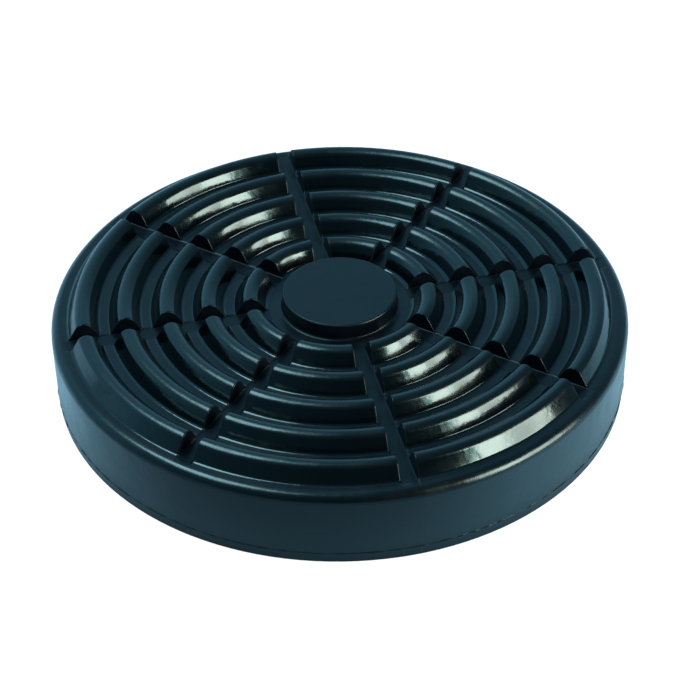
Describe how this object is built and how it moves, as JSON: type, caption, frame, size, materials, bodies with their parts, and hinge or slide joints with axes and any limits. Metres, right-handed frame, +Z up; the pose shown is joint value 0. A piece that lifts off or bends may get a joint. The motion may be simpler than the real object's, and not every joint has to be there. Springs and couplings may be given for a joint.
{
  "type": "lift arm rubber pad",
  "caption": "Round black rubber pad for a vehicle lift arm: a thick disc whose top has arched concentric ridges, straight radial slots and a flat boss in the middle.",
  "frame": {"origin": "centre of the flat underside", "axes": "+Z up along the disc's axis and out of the boss; two of the radial slots run along X and two along Y, the others between them"},
  "size_m": [0.14, 0.14, 0.0236],
  "materials": {
    "rubber": "moulded black rubber, matte on the boss and side wall, glossier on the ridges"
  },
  "bodies": {
    "root": {"lift_pad": "rubber"}
  },
  "joints": []
}
